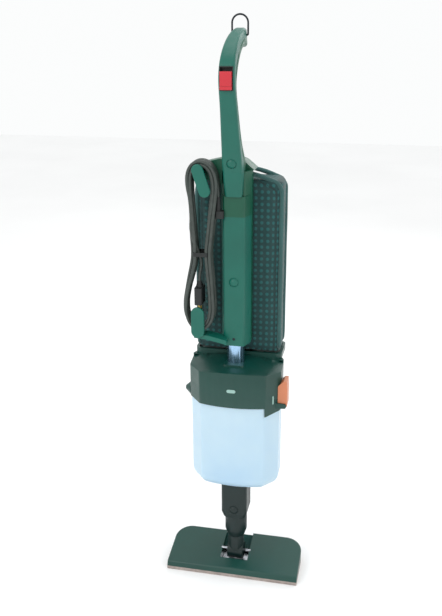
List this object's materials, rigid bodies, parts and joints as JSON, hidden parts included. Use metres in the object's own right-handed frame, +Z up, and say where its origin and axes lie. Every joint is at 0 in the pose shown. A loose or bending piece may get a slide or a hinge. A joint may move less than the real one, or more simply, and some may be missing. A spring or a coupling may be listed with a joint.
{
  "type": "upright vacuum cleaner",
  "caption": "Upright stick vacuum cleaner with swivel floor nozzle, motor housing, cloth bag, curved handle and a mains cord hung on two hooks.",
  "frame": {"origin": "centre of the floor nozzle's underside, on the floor", "axes": "+Z up along the stick, -Y towards the front where the buttons, switch and cord hank are, +X towards the latch lever's side"},
  "size_m": [0.285, 0.1893, 1.145],
  "materials": {
    "dark_green_plastic": "gloss",
    "green_plastic": "gloss",
    "teal_plastic": "gloss",
    "white_plastic": "gloss",
    "neck_plastic": "satin",
    "badge_grey": "satin",
    "chrome_steel": "gloss",
    "black_plastic": "satin",
    "beige_rubber": "matte",
    "orange_plastic": "gloss",
    "red_plastic": "gloss",
    "bag_cloth": "matte",
    "filter_paper": "matte",
    "lint_velvet": "matte",
    "grey_rubber": "matte",
    "black_rubber": "matte",
    "steel": "satin",
    "dark_steel": "satin",
    "aluminium": "satin",
    "brass": "satin",
    "copper": "gloss"
  },
  "bodies": {
    "nozzle": {"nozzle_shell": "dark_green_plastic", "sole_bumper": "beige_rubber", "sole_plate": "steel", "nozzle_screws": "dark_steel", "lint_strips": "lint_velvet", "hinge_pins": "steel"},
    "elbow": {"swivel_elbow": "neck_plastic"},
    "neck_button": {"neck_button": "neck_plastic"},
    "stick_button": {"stick_button": "teal_plastic"},
    "handle_button": {"handle_button": "teal_plastic"},
    "switch": {"switch_slider": "red_plastic"},
    "loop": {"hanging_loop": "dark_steel"},
    "hook": {"cord_hook_upper": "teal_plastic"},
    "latch": {"latch_lever": "orange_plastic"},
    "rotor": {"motor_shaft": "steel", "armature": "dark_steel", "armature_windings": "copper", "commutator": "copper", "impeller": "aluminium"},
    "cleaner": {"neck_collar": "neck_plastic", "neck_socket": "neck_plastic", "button_springs": "steel", "lower_housing": "white_plastic", "upper_housing": "dark_green_plastic", "badges": "badge_grey", "side_knob": "dark_green_plastic", "latch_bracket": "dark_green_plastic", "inlet_duct": "black_plastic", "fan_case": "black_plastic", "exhaust_duct": "black_plastic", "bearings": "steel", "motor_can": "steel", "motor_end_cap": "black_plastic", "stator": "dark_steel", "field_coils": "copper", "brush_gear": "brass", "motor_deck": "black_plastic", "motor_mount_ring": "black_rubber", "metal_tube": "chrome_steel", "stick_cover": "teal_plastic", "stick_channel": "green_plastic", "stem_socket": "green_plastic", "handle_front": "teal_plastic", "handle_rear": "green_plastic", "switch_frame": "black_plastic", "bag_cover": "bag_cloth", "filter_bag": "filter_paper", "bag_collar": "dark_green_plastic", "dome_cap": "green_plastic", "hook_bracket": "green_plastic", "cord_hook_lower": "teal_plastic", "cord_hank": "grey_rubber", "cord_lead": "grey_rubber", "cord_tail": "grey_rubber", "strain_relief": "black_rubber", "cord_tie": "black_rubber", "plug_body": "black_rubber", "plug_pins": "brass", "inner_cable": "grey_rubber", "case_screws": "dark_steel"}
  },
  "joints": [
    {"name": "nozzle_tilt", "type": "hinge", "parent": "nozzle", "child": "elbow", "pos_m": [0, 0.005, 0.028], "axis": [-1, 0, 0], "range_deg": [0, 60]},
    {"name": "neck_swivel", "type": "hinge", "parent": "elbow", "child": "cleaner", "pos_m": [0, 0.005, 0.1], "axis": [0, 0, 1], "range_deg": [-90, 90]},
    {"name": "neck_button_press", "type": "slide", "parent": "cleaner", "child": "neck_button", "axis": [0, 1, 0], "range_m": [0, 0.003], "stiffness_N_per_m": 400},
    {"name": "stick_button_press", "type": "slide", "parent": "cleaner", "child": "stick_button", "axis": [0, 1, 0], "range_m": [0, 0.003], "stiffness_N_per_m": 400},
    {"name": "handle_button_press", "type": "slide", "parent": "cleaner", "child": "handle_button", "axis": [0, 0.945, 0.3271], "range_m": [0, 0.003], "stiffness_N_per_m": 400},
    {"name": "switch_slide", "type": "slide", "parent": "cleaner", "child": "switch", "axis": [0, 0, 1], "range_m": [0, 0.004]},
    {"name": "hanging_loop_swing", "type": "hinge", "parent": "cleaner", "child": "loop", "pos_m": [0, 0.04, 1.108], "axis": [1, 0, 0], "range_deg": [-140, 65]},
    {"name": "cord_hook_turn", "type": "hinge", "parent": "cleaner", "child": "hook", "pos_m": [-0.062, -0.03, 0.87], "axis": [0, 1, 0], "range_deg": [0, 180]},
    {"name": "latch_lever_swing", "type": "hinge", "parent": "cleaner", "child": "latch", "pos_m": [0.1015, 0.001, 0.403], "axis": [0, 1, 0], "range_deg": [0, 40]},
    {"name": "rotor_spin", "type": "hinge", "parent": "cleaner", "child": "rotor", "pos_m": [0, 0.024, 0.31], "axis": [0, 0, 1], "continuous": true}
  ]
}
